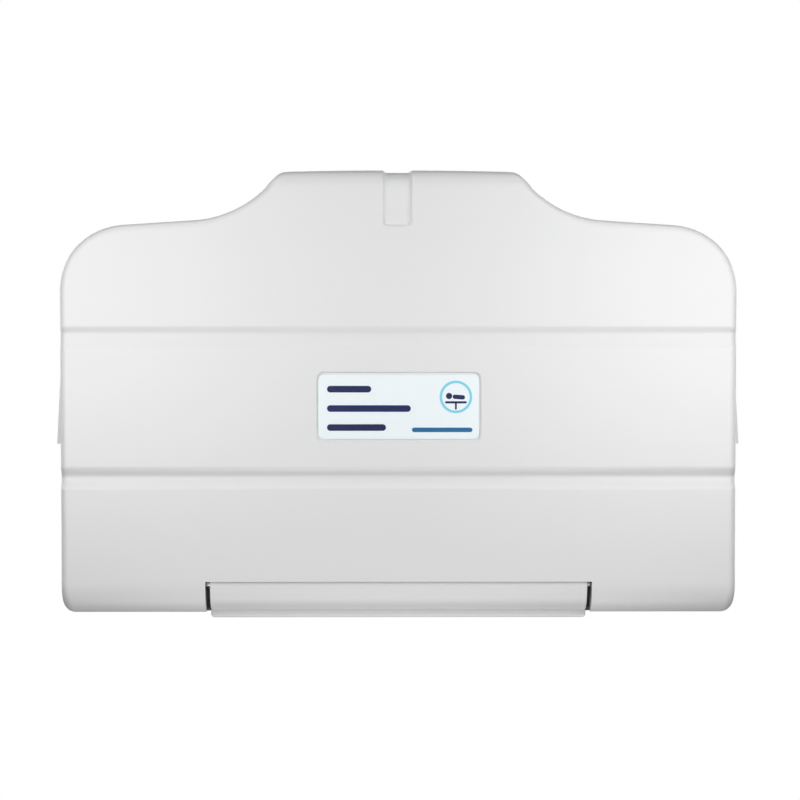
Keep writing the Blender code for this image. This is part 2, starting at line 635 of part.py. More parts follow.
def make_belt(bed, webbing, black, red):
    """Waist strap in two halves, with its anchors and a push-button buckle."""
    floor = TRAY_FLOOR_Y + GAP
    across, depth = (-STRAP_HALF, STRAP_HALF), (floor, floor + STRAP_T)
    upper = block(across, depth, (0.0340, 0.1480))
    lower = block(across, depth, (-0.1380, -0.0330))
    finish("strap_upper", upper, webbing, bed)
    finish("strap_lower", lower, webbing, bed)
    for label, z in (("upper", 0.1483), ("lower", -0.1600)):
        anchor = block((-0.026, 0.026), (floor, floor + 0.0060), (z, z + 0.0217), 0.0018, 2)
        finish(f"strap_anchor_{label}", anchor, black, bed)
    socket = block((-0.027, 0.027), (floor, floor + 0.0150), (-0.0327, 0.0150), 0.0035, 3)
    socket_obj = finish("buckle_socket", socket, black, bed)
    mouth = block((-0.0165, 0.0165), (floor + 0.0055, floor + 0.0100), (-0.0080, 0.03))
    well = block((-0.0105, 0.0105), (floor + 0.0085, floor + 0.03), (-0.0255, -0.0100), 0.0)
    combine(
        socket_obj,
        ("DIFFERENCE", guide("socket_mouth", mouth)),
        ("DIFFERENCE", guide("socket_well", well)),
    )
    tongue = block((-0.027, 0.027), (floor, floor + 0.0125), (0.0153, 0.0337), 0.0030, 2)
    tongue_obj = finish("buckle_tongue", tongue, black, bed)
    blade = block((-0.0160, 0.0160), (floor + 0.0060, floor + 0.0095), (-0.0072, 0.025))
    combine(tongue_obj, ("UNION", guide("tongue_blade", blade)))
    press = empty("buckle_press", (0, floor + 0.0150, -0.0178), bed)
    button = block((-0.0102, 0.0102), (floor + 0.0125, floor + 0.0160), (-0.0252, -0.0103), 0.0010, 2)
    finish("buckle_button", button, red, press)


def make_label(bed, face):
    """Plain plate set in the pocket of the front skin."""
    outline = rounded_rectangle(LABEL_X, *LABEL_Z, 0.0075, 4)
    plate = plate_from_outline(outline, SKIN_Y + POCKET_DEPTH - GAP, SKIN_Y + 0.0016)
    finish("label_plate", plate, face, bed)


def main():
    clear_scene()
    plastic = material("bed_plastic", (0.70, 0.70, 0.69), 0.42)
    tray_plastic = material("tray_plastic", (0.68, 0.68, 0.67), 0.45)
    steel = material("bright_steel", (0.55, 0.55, 0.56), 0.28, 1.0)
    zinc = material("zinc_plate", (0.48, 0.49, 0.50), 0.42, 1.0)
    bronze = material("bronze", (0.45, 0.30, 0.14), 0.40, 1.0)
    black = material("black_plastic", (0.02, 0.02, 0.022), 0.40)
    red = material("button_red", (0.50, 0.03, 0.02), 0.38)
    webbing = material("webbing", (0.045, 0.05, 0.06), 0.85)
    paper = material("paper", (0.80, 0.80, 0.78), 0.90)
    face = material("label_face", (0.86, 0.90, 0.93), 0.35)

    bed = empty("bed_axis", at(0, 0))
    make_outer_shell(bed, plastic)
    make_inner_tray(bed, tray_plastic)
    make_label(bed, face)
    make_belt(bed, webbing, black, red)

    make_housing(plastic)
    make_hinge_cover(plastic)
    shaft = rod_x(at(0, 0), SHAFT_R, -0.4285, 0.4285, 24, 0.001)
    finish("hinge_shaft", shaft, steel)
    for side in (-1, 1):
        make_side(side, bed, steel, zinc, bronze, black, plastic)
    make_fasteners(steel)
    make_dispenser(tray_plastic, paper)
    make_hooks(tray_plastic)
    panel = block((-0.135, 0.135), (-WALL - GAP - 0.002, -WALL - GAP), (-0.165, 0.010), 0.0006, 1)
    finish("instruction_panel", panel, face)


main()
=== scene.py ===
import json
import math

import bmesh
import bpy
from mathutils import Matrix, Vector


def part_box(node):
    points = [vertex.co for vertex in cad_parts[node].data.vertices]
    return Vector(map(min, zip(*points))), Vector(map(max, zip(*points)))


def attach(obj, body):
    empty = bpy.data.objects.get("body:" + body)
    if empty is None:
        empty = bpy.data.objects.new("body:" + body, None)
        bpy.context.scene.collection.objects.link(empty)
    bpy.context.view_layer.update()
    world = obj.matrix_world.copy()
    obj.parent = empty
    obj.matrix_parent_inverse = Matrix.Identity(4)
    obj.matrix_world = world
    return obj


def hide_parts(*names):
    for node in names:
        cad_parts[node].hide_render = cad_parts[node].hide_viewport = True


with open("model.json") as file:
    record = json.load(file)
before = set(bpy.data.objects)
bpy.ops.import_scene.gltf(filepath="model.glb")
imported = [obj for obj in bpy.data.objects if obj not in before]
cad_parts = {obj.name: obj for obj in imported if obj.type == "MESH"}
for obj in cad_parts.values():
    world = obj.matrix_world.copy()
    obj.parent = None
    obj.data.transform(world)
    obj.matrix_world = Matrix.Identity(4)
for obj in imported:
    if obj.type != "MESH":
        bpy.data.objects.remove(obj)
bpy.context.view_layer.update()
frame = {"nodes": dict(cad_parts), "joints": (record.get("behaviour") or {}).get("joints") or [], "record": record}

hinge = Vector(next(j for j in frame["joints"] if j["name"] == "bed_fold")["pos_m"])
shell_low, shell_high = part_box("bed_outer_shell")
cover_low, cover_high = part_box("hinge_cover")


# --------------------------------------------------------
# View, lights and stage.
# The station hangs on a wall, so the camera stands square in front of it. Soft
# boxes light it from the front, and a pale floor lies some way under it.
# --------------------------------------------------------
scene = bpy.context.scene
camera_distance = 3.80
camera_turn = math.radians(-0.7)
view_width = 1.0311                         # metres across the view at the bed's front
aim = Vector((0.0016, -0.100, -0.0090))
film_width = 36.0
light_on_object, light_of_backdrop = 0.19, 1.0

camera = bpy.data.objects.new("camera", bpy.data.cameras.new("camera"))
scene.collection.objects.link(camera)
camera.data.sensor_width = film_width
camera.data.lens = film_width * camera_distance / view_width
camera.location = aim + Vector((math.sin(camera_turn), -math.cos(camera_turn), 0)) * camera_distance
camera.rotation_euler = (math.pi / 2, 0, camera_turn)
scene.camera = camera

scene.view_settings.view_transform = "Standard"


def soft_light(name, place, target, size, power):
    """A rectangular studio light that faces a point and stays out of sight."""
    lamp = bpy.data.lights.new(name, "AREA")
    lamp.shape = "RECTANGLE"
    lamp.size, lamp.size_y = size
    lamp.energy = power
    holder = bpy.data.objects.new(name, lamp)
    scene.collection.objects.link(holder)
    holder.location = place
    holder.rotation_euler = (Vector(target) - Vector(place)).to_track_quat("-Z", "Y").to_euler()
    holder.visible_camera = False


soft_light("left_box", (-0.50, -0.62, 0.14), (-0.25, -0.1, 0.05), (0.7, 0.6), 2.95)
soft_light("right_box", (0.50, -0.62, 0.14), (0.25, -0.1, 0.05), (0.7, 0.6), 3.25)
soft_light("top_box", (0.0, -0.45, 1.50), (0, -0.1, 0.0), (1.2, 0.7), 3.6)
soft_light("low_box", (0.0, -0.20, -0.72), (0, -0.10, -0.25), (0.9, 0.2), 1.3)
soft_light("ledge_box", (0.0, -0.34, -0.50), (0, -0.06, -0.27), (0.55, 0.08), 0.20)
soft_light("left_fill", (-2.0, 1.7, 0.2), (0, 0, 0), (1.4, 1.4), 12.0)
soft_light("right_fill", (2.0, 1.7, 0.2), (0, 0, 0), (1.4, 1.4), 12.0)
soft_light("back_box", (0.0, 1.90, 0.30), (0, 0.0, 0.0), (2.0, 1.2), 26.0)
soft_light("floor_box", (0.0, 0.0, -0.40), (0, 0.0, -1.0), (3.6, 3.6), 22.0)

world = bpy.data.worlds.new("studio")
scene.world = world
world.use_nodes = True
sky = world.node_tree
sky.nodes.clear()
ray = sky.nodes.new("ShaderNodeLightPath")
either = sky.nodes.new("ShaderNodeMixShader")
out = sky.nodes.new("ShaderNodeOutputWorld")
sky.links.new(ray.outputs["Is Camera Ray"], either.inputs[0])
for socket, strength in ((1, light_on_object), (2, light_of_backdrop)):
    background = sky.nodes.new("ShaderNodeBackground")
    background.inputs["Color"].default_value = (1, 1, 1, 1)
    background.inputs["Strength"].default_value = strength
    sky.links.new(background.outputs[0], either.inputs[socket])
sky.links.new(either.outputs[0], out.inputs["Surface"])


class Wire:
    """A shader socket that can be added, subtracted and multiplied like a number."""

    def __init__(self, tree, socket=None):
        self.tree = tree
        self.socket = socket

    def node(self, kind, sockets=None, output=0, **settings):
        """Adds a node: settings first, then its sockets' values or links."""
        made = self.tree.nodes.new(kind)
        for key, value in settings.items():
            setattr(made, key, value)
        for key, value in (sockets or {}).items():
            if isinstance(value, Wire):
                self.tree.links.new(value.socket, made.inputs[key])
            else:
                made.inputs[key].default_value = value
        return Wire(self.tree, made.outputs[output])

    def _math(self, operation, first, second=0.0):
        return self.node("ShaderNodeMath", {0: first, 1: second}, operation=operation)

    def __add__(self, other):
        return self._math("ADD", self, other)

    __radd__ = __add__

    def __sub__(self, other):
        return self._math("SUBTRACT", self, other)

    def __rsub__(self, other):
        return self._math("SUBTRACT", other, self)

    def __mul__(self, other):
        return self._math("MULTIPLY", self, other)

    __rmul__ = __mul__

    def sine(self):
        return self._math("SINE", self)

    def mixed(self, first, second):
        """Colour between two colours, by this value."""
        return self.node(
            "ShaderNodeMix",
            {0: self, 6: first, 7: second},
            output=2,
            data_type="RGBA",
            clamp_factor=True,
        )

    def noise(self, scale, detail=2.0, roughness=0.5, stretch=(1, 1, 1)):
        """Cloudy pattern from 0 to 1; scale is features per metre."""
        placed = self.node("ShaderNodeMapping", {"Vector": self, "Scale": stretch})
        return self.node(
            "ShaderNodeTexNoise",
            {"Vector": placed, "Scale": scale, "Detail": detail, "Roughness": roughness},
        )

    def bump(self, strength, depth):
        """Normal of a surface raised by this value times depth, in metres."""
        return self.node("ShaderNodeBump", {"Height": self, "Strength": strength, "Distance": depth})


def new_material(name):
    """Principled material: gives its shader node and the object coordinates."""
    made = bpy.data.materials.new(name)
    made.use_nodes = True
    tree = made.node_tree
    shader = tree.nodes["Principled BSDF"]
    places = Wire(tree).node("ShaderNodeTexCoord", output=3)
    return made, shader, places


def feed(shader, **values):
    """Sets or links the shader's sockets; an underscore stands for a space."""
    for key, value in values.items():
        socket = shader.inputs[key.replace("_", " ")]
        if isinstance(value, Wire):
            value.tree.links.new(value.socket, socket)
        else:
            socket.default_value = value


floor_finish, floor_shader, _ = new_material("floor_finish")
feed(floor_shader, Base_Color=(0.86, 0.86, 0.86, 1), Roughness=0.8)
floor_centre, floor_radius = (0, -0.05, -0.75), 1.45
floor_mesh = bmesh.new()
bmesh.ops.create_circle(floor_mesh, cap_ends=True, segments=96, radius=floor_radius)
bmesh.ops.translate(floor_mesh, vec=floor_centre, verts=floor_mesh.verts)
floor_data = bpy.data.meshes.new("floor")
floor_mesh.to_mesh(floor_data)
floor_mesh.free()
floor_data.materials.append(floor_finish)
floor = bpy.data.objects.new("floor", floor_data)
scene.collection.objects.link(floor)
floor.visible_diffuse = False                 # it shows, but throws no light up on the object
floor.visible_glossy = False


# --------------------------------------------------------
# Bed front.
# The blow-moulded polyethylene shell: a plate with a hump and a pull lip, two
# long grooves, a pocket for the label, and ends that roll round the hinge.
# --------------------------------------------------------
barrel_radius = hinge.z - shell_low.z
skin_y = hinge.y - barrel_radius
rim_depth = shell_high.y - skin_y           # from the skin back to the open rim
wall = 0.0040
side_x = 0.4350                             # bed's side at the hinge
shoulder_x, shoulder_z = 0.4372, 0.133      # bed's side under the shoulder
shoulder_curve = ((0.4355, 0.186), (0.3955, 0.2155), (0.352, 0.2173))
shoulder_end = Vector((0.265, 0.223))
flank_curve = ((0.215, 0.226), (0.180, 0.253), (0.160, 0.277))
corner_curve = ((0.1565, 0.2812), (0.153, 0.2855), (0.1440, 0.2857))
hump_half, hump_ends, hump_top = 0.144, 0.2860, shell_high.z
edge_radius, lip_trim, roll_growth = 0.0090, 0.0040, 0.0070
lip_zone = (0.262, 0.280)                   # where the front edge gets its lip's radius
notch_half = 0.2495
notch_edge = hinge.z + 0.0016
cove_radius = 0.0362                        # hollow round the ledge
slot_radius = 0.0105                        # hole for the shaft in the notch's cheeks
roll_end = math.radians(100)
grooves = (                                 # top, depth, flank, run, power
    (0.0868, 0.0056, 0.0098, 0.0200, 1.5),
    (-0.0945, 0.0086, 0.0140, 0.0146, 1.9),
)
label_pocket = (0.1065, -0.0635, 0.0275, 0.0095, 0.0016, 0.0030)   # as pocket() takes them
grip_x, grip_half = -0.0018, 0.0195
grip_pocket = (grip_half, 0.2140, 0.3600, 0.0080, 0.0036, 0.0045)
grip_dip, grip_slope, grip_zone = 0.0028, 0.0060, (0.262, 0.286)
lip_reach, lip_rise = skin_y - shell_low.y, (0.2150, 0.2660)
lip_roll, lip_roll_rate = 0.2680, 38        # where the lip turns back, and how fast


def between(value, low, high):
    """Share of the way from low to high, from 0 to 1."""
    return min(1.0, max(0.0, (value - low) / (high - low)))


def smooth(value, low, high):
    """The same share with a soft start and end."""
    share = between(value, low, high)
    return share * share * (3 - 2 * share)


def curve(a, b, c, d, steps):
    """Points on a cubic curve, without its first one."""
    points = []
    for index in range(1, steps + 1):
        t = index / steps
        s = 1 - t
        weights = (s**3, 3 * s * s * t, 3 * s * t * t, t**3)
        weighed = list(zip(weights, (a, b, c, d)))
        points.append(Vector(sum(k * p[axis] for k, p in weighed) for axis in (0, 1)))
    return points


def upper_outline():
    """Right half of the outline, from the shoulder's foot to the middle of the hump."""
    points = [Vector((shoulder_x, shoulder_z))]
    points += curve(points[-1], *shoulder_curve, 26)
    points += [points[-1].lerp(shoulder_end, k / 11) for k in range(1, 12)]
    points += curve(points[-1], *flank_curve, 18)
    points += curve(points[-1], *corner_curve, 9)
    # Places across the hump, close together at the flanks of the label's and the grip's pockets.
    across = [0.1375, 0.1310, 0.1250, 0.1190, 0.1140, 0.1110]
    across += [0.1090 - 0.0010 * k for k in range(9)]
    across += [0.0975 - 0.0070 * k for k in range(10)]
    across += [0.0280, 0.0240] + [0.0215 - 0.0010 * k for k in range(11)] + [0.0080, 0.0040, 0.0]
    arch = hump_top - hump_ends
    points += [Vector((x, hump_ends + arch * (1 - (x / hump_half) ** 2))) for x in across]
    return points


def rounding(z):
    """Radius of the bed's front edge at a height."""
    roll = smooth(hinge.z - z, 0.0, barrel_radius * 1.4)
    return edge_radius - lip_trim * smooth(z, *lip_zone) + roll_growth * roll


def side_at(z):
    """Half width of the bed where its sides are straight."""
    return side_x + (shoulder_x - side_x) * between(z, hinge.z + barrel_radius, shoulder_z)


def groove(z, top, depth, flank, run, power):
    """Depth of a groove with a steep upper flank and a hollow lower one."""
    below = top - z
    if below <= 0 or below >= flank + run:
        return 0.0
    if below < flank:
        return depth * smooth(below, 0, flank)
    return depth * (1 - ((below - flank) / run) ** power)


def pocket(x, z, half_x, low, high, corner, flank, depth):
    """Depth of a pocket with round corners and sloping flanks."""
    middle = (low + high) / 2
    over = Vector((abs(x) - half_x + corner, abs(z - middle) - (high - low) / 2 + corner))
    outside = Vector((max(over.x, 0), max(over.y, 0))).length + min(max(over.x, over.y), 0) - corner
    return depth * smooth(-outside, 0, flank)


def relief(x, z):
    """How far the skin lies behind its plane."""
    depth = sum(groove(z, *shape) for shape in grooves)
    depth += pocket(x, z, *label_pocket)
    depth += pocket(x - grip_x, z, *grip_pocket)
    depth -= lip_reach * smooth(z, *lip_rise)
    depth += lip_roll_rate * max(0.0, z - lip_roll) ** 2
    return depth


def dip_at(x, z):
    """How far the bed's top edge sinks where the finger grip cuts it."""
    return grip_dip * smooth(grip_half - abs(x - grip_x), 0, grip_slope) * smooth(z, *grip_zone)


def rolled(x, s, depth):
    """Place of a point of the flat pattern once its foot is rolled round the hinge."""
    if s >= hinge.z:
        return Vector((x, skin_y + depth, s))
    angle = (hinge.z - s) / barrel_radius
    radius = barrel_radius - depth
    return Vector((x, hinge.y - radius * math.cos(angle), hinge.z - radius * math.sin(angle)))


def spaced(*spans):
    """Sorted places from (start, end, step) spans, without near doubles."""
    found = []
    for start, end, step in spans:
        count = max(1, round((end - start) / step))
        found += [start + (end - start) * k / count for k in range(count + 1)]
    kept = []
    for place in sorted(found):
        if not kept or place - kept[-1] > 0.0006:
            kept.append(place)
    return kept


foot = hinge.z - barrel_radius * roll_end
plain_top = 0.118                           # over it, rows follow the outline
taper_from = 0.36                           # from here out, columns follow the sides
rows_above = 58
rows = spaced(                              # close together at the grooves and pockets
    (foot, hinge.z, 0.0042), (notch_edge, -0.1270, 0.0085), (-0.1270, -0.1090, 0.0015),
    (-0.1085, -0.0935, 0.0012), (-0.0925, -0.0660, 0.0080), (-0.0650, -0.0600, 0.0009),
    (-0.0590, 0.0230, 0.0075), (0.0235, 0.0285, 0.0009), (0.0300, 0.0550, 0.0080),
    (0.0560, 0.0755, 0.0020), (0.0760, 0.0895, 0.0012), (0.0900, plain_top, 0.0070),
)
outline = upper_outline()
ahead = outline[1:] + [Vector((-outline[-2].x, outline[-2].y))]
behind = [outline[0] - Vector((0, 0.01))] + outline[:-1]
outward = []
for back, front in zip(behind, ahead):
    run = (front - back).normalized()
    outward.append(Vector((run.y, -run.x)))
inner_edge = [p - n * rounding(p.y) for p, n in zip(outline, outward)]
inner_edge[-1].x = 0.0
columns = [Vector((-p.x, p.y)) for p in inner_edge[:-1]] + inner_edge[::-1]

skin = bmesh.new()
row_count = len(rows) + rows_above
bmesh.ops.create_grid(skin, x_segments=len(columns) - 1, y_segments=row_count - 1, size=1.0)
widest = columns[-1].x
for vert in skin.verts:
    column = round((vert.co.x + 1) / 2 * (len(columns) - 1))
    row = round((vert.co.y + 1) / 2 * (row_count - 1))
    x, top = columns[column]
    if row < len(rows):
        s = rows[row]
        wanted = side_at(s) - rounding(s)
        x += math.copysign(between(abs(x), taper_from, widest), x) * (wanted - widest)
    else:
        share = (row - len(rows) + 1) / rows_above
        s = plain_top + (top - plain_top) * share
    vert.co = (x, s, 0)
in_notch = [
    f for f in skin.faces
    if abs(f.calc_center_median().x) < notch_half and f.calc_center_median().y < notch_edge - 1e-5
]
bmesh.ops.delete(skin, geom=in_notch, context="FACES")
notch_snap = (-0.0045, 0.0040)              # vertices this near a cheek join it
for vert in skin.verts:
    x, s, _ = vert.co
    if notch_snap[0] < abs(x) - notch_half < notch_snap[1] and s < notch_edge + 1e-5:
        vert.co.x = math.copysign(notch_half, x)


def draw_out(bm, edges, place):
    """Extrudes open edges; place gives each new vertex its spot from the old vertex."""
    made = bmesh.ops.extrude_edge_only(bm, edges=edges)["geom"]
    fresh = [g for g in made if isinstance(g, bmesh.types.BMVert)]
    known = set(fresh)
    pairs = []
    for vert in fresh:
        old = next(e.other_vert(vert) for e in vert.link_edges if e.other_vert(vert) not in known)
        pairs.append((old, vert))
    for old, vert in pairs:
        vert.co = place(old, vert)
    rim = [g for g in made if isinstance(g, bmesh.types.BMEdge) and all(v in known for v in g.verts)]
    return rim, dict(pairs)


def is_outer(edge):
    """True on the bed's sides and top, false in the notch and at the rolled ends."""
    middle = (edge.verts[0].co + edge.verts[1].co) / 2
    at_notch = abs(middle.x) < notch_half + 0.001 and middle.y < notch_edge + 0.001
    return edge.is_boundary and not at_notch and middle.y > foot + 1e-6


rim = [e for e in skin.edges if is_outer(e)]
away = {}
for edge in rim:
    first, second = edge.verts
    run = (second.co - first.co).normalized()
    side = Vector((run.y, -run.x, 0))
    inside = edge.link_faces[0].calc_center_median()
    if side.dot(first.co - inside) < 0:
        side.negate()
    for vert in edge.verts:
        away[vert] = away.get(vert, Vector()) + side
first_place = {vert: vert.co.copy() for vert in away}
away = {vert: side.normalized() for vert, side in away.items()}
radius_of = {vert: rounding(vert.co.y) for vert in away}
root_of = {vert: vert for vert in away}
round_steps = 7
for step in range(1, round_steps + 1):
    angle = math.pi / 2 * step / round_steps

    def on_round(old, fresh):
        root = root_of[old]
        radius = radius_of[root]
        place = first_place[root] + away[root] * radius * math.sin(angle)
        return (place.x, place.y, radius * (1 - math.cos(angle)))

    rim, grown = draw_out(skin, rim, on_round)
    root_of.update({fresh: root_of[old] for old, fresh in grown.items()})

flat_rim = [e for e in rim if all(v.co.y > hinge.z - 1e-6 for v in e.verts)]
end_rim = [e for e in rim if e not in flat_rim]
back_rim, _ = draw_out(skin, flat_rim, lambda old, fresh: (old.co.x, old.co.y, rim_depth))
rim_verts = {v for e in back_rim for v in e.verts}
for vert in skin.verts:
    x, s, depth = vert.co
    if vert not in rim_verts:
        depth += relief(x, s)
    s -= dip_at(x, s)
    vert.co = rolled(x, s, depth)


def turned_down(vert):
    """Angle of a vertex round the hinge, from straight ahead downwards."""
    return math.atan2(hinge.z - vert.co.z, hinge.y - vert.co.y)


for side in (-1, 1):                        # flat faces close the rolled ends
    arc_edges = [e for e in end_rim if e.verts[0].co.x * side > 0]
    ring = sorted({v for e in arc_edges for v in e.verts}, key=turned_down)
    corner = Vector((side * side_x, shell_high.y, hinge.z))
    back_corner = min(rim_verts, key=lambda v: (v.co - corner).length)
    heel = skin.verts.new((ring[-1].co.x, shell_high.y, ring[-1].co.z))
    skin.faces.new(ring + [heel, back_corner])


def on_notch_edge(vert):
    x, y, z = vert.co
    return abs(z - notch_edge) < 1e-5 and abs(x) < notch_half + 1e-4 and y < hinge.y


notch_rim = [e for e in skin.edges if e.is_boundary and all(on_notch_edge(v) for v in e.verts)]
cove_start = math.asin((notch_edge - hinge.z) / cove_radius)
cove_end = math.acos((hinge.y - shell_high.y) / cove_radius)
cove_steps = 16
for step in range(cove_steps + 1):
    angle = cove_start + (cove_end - cove_start) * step / cove_steps
    y = hinge.y - cove_radius * math.cos(angle)
    z = hinge.z + cove_radius * math.sin(angle)
    notch_rim, _ = draw_out(skin, notch_rim, lambda old, fresh: (old.co.x, y, z))

slot_steps = 16
for side in (-1, 1):                        # the notch's cheeks, open for the shaft
    x = side * notch_half
    near = [v for v in skin.verts if v.is_boundary and abs(v.co.x - x) < 1e-4]
    outer = [v for v in near if (v.co.yz - hinge.yz).length > cove_radius + 0.001]
    inner = [v for v in near if (v.co.yz - hinge.yz).length <= cove_radius + 0.001]
    outer.sort(key=turned_down, reverse=True)
    inner.sort(key=turned_down, reverse=True)
    slot = []
    reach = math.acos((hinge.y - shell_high.y) / slot_radius)
    for k in range(slot_steps + 1):
        angle = reach - 2 * reach * k / slot_steps
        y = hinge.y - slot_radius * math.cos(angle)
        slot.append(skin.verts.new((x, y, hinge.z + slot_radius * math.sin(angle))))
    heel = skin.verts.new((x, shell_high.y, outer[0].co.z))
    skin.faces.new(inner + slot + [heel] + outer)

bmesh.ops.remove_doubles(skin, verts=skin.verts, dist=1e-6)
bmesh.ops.recalc_face_normals(skin, faces=skin.faces)


def piece(name, bm, finish, sharp=40, flip_check=None, flat_faces=False):
    """Makes an object of a bmesh, smooth but for its sharp edges."""
    if flip_check is not None:
        face = max(bm.faces, key=lambda f: f.calc_center_median().dot(flip_check))
        if face.normal.dot(flip_check) < 0:
            bmesh.ops.reverse_faces(bm, faces=bm.faces)
    data = bpy.data.meshes.new(name)
    bm.to_mesh(data)
    bm.free()
    data.shade_smooth()
    data.set_sharp_from_angle(angle=math.radians(sharp))
    data.materials.append(finish)
    made = bpy.data.objects.new(name, data)
    scene.collection.objects.link(made)
    if flat_faces:
        made.modifiers.new("even_shine", "WEIGHTED_NORMAL").keep_sharp = True
    return made


def round_off(bm, edges, width, steps, clamp=False):
    """Rounds edges with a number of faces."""
    bmesh.ops.bevel(
        bm, geom=edges, offset=width, segments=steps, affect="EDGES", profile=0.5, material=-1,
        clamp_overlap=clamp,
    )


def thicken(made, thickness):
    """Gives an open shell its wall, inwards."""
    solid = made.modifiers.new("wall", "SOLIDIFY")
    solid.thickness = thickness
    solid.offset = -1.0
    solid.use_even_offset = True
    solid.use_quality_normals = True


def moulded_plastic(name, colour, roughness, grain, streak=0.012, relief_strength=0.25):
    """Satin polyethylene: faint clouds and streaks of flow, and a fine moulded grain."""
    made, shader, places = new_material(name)
    clouds = places.noise(9, 3, 0.55)
    flow = places.noise(55, 3, 0.6, stretch=(0.06, 1, 1))
    specks = places.noise(900, 1, 0.5)
    tone = (clouds - 0.5) * 0.035 + (flow - 0.5) * streak * 2 + (specks - 0.5) * 0.012 + 0.5
    lighter = tuple(min(1.0, c * 1.10) for c in colour) + (1,)
    darker = tuple(c * 0.90 for c in colour) + (1,)
    skin_grain = places.noise(grain, 2, 0.55)
    ripple = places.noise(70, 2, 0.5)
    height = skin_grain * 0.6 + ripple * 0.4
    feed(
        shader,
        Base_Color=tone.mixed(darker, lighter),
        Roughness=roughness + (clouds - 0.5) * 0.10 + (skin_grain - 0.5) * 0.08,
        Normal=height.bump(relief_strength, 0.0004),
        IOR=1.50,
    )
    return made


bed_plastic = moulded_plastic("bed_plastic", (0.780, 0.783, 0.781), 0.40, 1500)
bed_front = piece("bed_front", skin, bed_plastic, 38, Vector((0, -1, 0)))
thicken(bed_front, wall * 0.95)
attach(bed_front, "bed")
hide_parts("bed_outer_shell")


# --------------------------------------------------------
# Ledge.
# The fixed cover over the shaft, moulded like the bed: a half-round front with
# a square lip under it that stops the open bed.
# --------------------------------------------------------
cover_radius = cover_high.z - hinge.z
cover_half = cover_high.x
lip_step, lip_corner, lip_edge = 0.0012, 0.0045, 0.0012
cover_steps = 28
ledge = bmesh.new()
lip_angle = math.asin(lip_step / cover_radius)
section = [(cover_high.y, cover_high.z)]
for k in range(cover_steps + 1):
    angle = math.pi / 2 - (math.pi - lip_angle) * k / cover_steps
    section.append((hinge.y - cover_radius * math.cos(angle), hinge.z + cover_radius * math.sin(angle)))
section += [(hinge.y - lip_step, cover_low.z), (cover_high.y, cover_low.z)]
chain = [ledge.verts.new((-cover_half, y, z)) for y, z in section]
end = ledge.faces.new(chain)
swept = bmesh.ops.extrude_face_region(ledge, geom=[end])["geom"]
bmesh.ops.translate(
    ledge, vec=(2 * cover_half, 0, 0), verts=[g for g in swept if isinstance(g, bmesh.types.BMVert)]
)
bmesh.ops.recalc_face_normals(ledge, faces=ledge.faces)


def at_lip_corner(place):
    return abs(abs(place.x) - cover_half) < 1e-6 and place.z < cover_low.z + 1e-6


def before_wall(place):
    return place.y < cover_high.y - 0.001


corner_edges = [e for e in ledge.edges if all(at_lip_corner(v.co) for v in e.verts)]
round_off(ledge, corner_edges, lip_corner, 6)
creases = [e for e in ledge.edges if e.calc_face_angle(0) > math.radians(40)]
front_creases = [e for e in creases if all(before_wall(v.co) for v in e.verts)]
round_off(ledge, front_creases, lip_edge, 3)
hinge_ledge = piece("hinge_ledge", ledge, bed_plastic, 38, Vector((0, -1, 0)), flat_faces=True)
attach(hinge_ledge, "wall_unit")
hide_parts("hinge_cover")


# --------------------------------------------------------
# Label.
# A satin plastic plate pressed into its pocket, with plain printed marks: three
# bars, a round sign of a child on a table, and a thin bar under it.
# --------------------------------------------------------
label_low, label_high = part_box("label_plate")
ink_thickness = 0.00012
navy = (0.0040, 0.0125, 0.085)
teal = (0.008, 0.130, 0.310)
pale_blue = (0.20, 0.62, 0.78)


def rounded_block(low, high, corner, edge=0.0, steps=8):
    """Block with round corners in front view, and a rounding round its front face."""
    low, high = Vector(low), Vector(high)
    bm = bmesh.new()
    bmesh.ops.create_cube(bm, size=1.0)
    bmesh.ops.scale(bm, vec=high - low, verts=bm.verts)
    bmesh.ops.translate(bm, vec=(low + high) / 2, verts=bm.verts)
    upright = [e for e in bm.edges if abs(e.verts[0].co.y - e.verts[1].co.y) > (high.y - low.y) / 2]
    round_off(bm, upright, corner, steps)
    if edge:
        front = [e for e in bm.edges if all(abs(v.co.y - low.y) < 1e-6 for v in e.verts)]
        round_off(bm, front, edge, 3)
    return bm


def turned(profile, centre, axis, steps=48, closed=False):
    """Turned piece: a chain of (place along the axis, radius) points spun right round."""
    bm = bmesh.new()
    centre, axis = Vector(centre), Vector(axis)
    out = axis.orthogonal().normalized()
    chain = [bm.verts.new(centre + axis * along + out * radius) for along, radius in profile]
    pairs = list(zip(chain, chain[1:]))
    if closed:
        pairs.append((chain[-1], chain[0]))
    edges = [bm.edges.new(pair) for pair in pairs]
    bmesh.ops.spin(
        bm, geom=chain + edges, cent=centre, axis=axis, angle=2 * math.pi, steps=steps, use_merge=True
    )
    bmesh.ops.remove_doubles(bm, verts=bm.verts, dist=1e-6)
    bmesh.ops.recalc_face_normals(bm, faces=bm.faces)
    return bm


def joined(*parts):
    """One bmesh out of several."""
    whole = bmesh.new()
    for part in parts:
        carrier = bpy.data.meshes.new("carrier")
        part.to_mesh(carrier)
        part.free()
        whole.from_mesh(carrier)
        bpy.data.meshes.remove(carrier)
    return whole


def bar(x0, x1, z, height, y, tilt=0.0):
    """Printed bar with round ends, on the surface at depth y."""
    made = rounded_block((x0, y - ink_thickness, z - height / 2), (x1, y, z + height / 2), height * 0.49)
    bmesh.ops.rotate(
        made, cent=((x0 + x1) / 2, y, z), matrix=Matrix.Rotation(tilt, 3, "Y"), verts=made.verts
    )
    return made


def disc(x, z, radius, y, hole=0.0):
    """Printed dot, or a ring if it has a hole."""
    profile = [(-ink_thickness, hole), (-ink_thickness, radius), (0, radius), (0, hole)]
    return turned(profile, (x, y, z), (0, 1, 0), 40, closed=hole > 0)


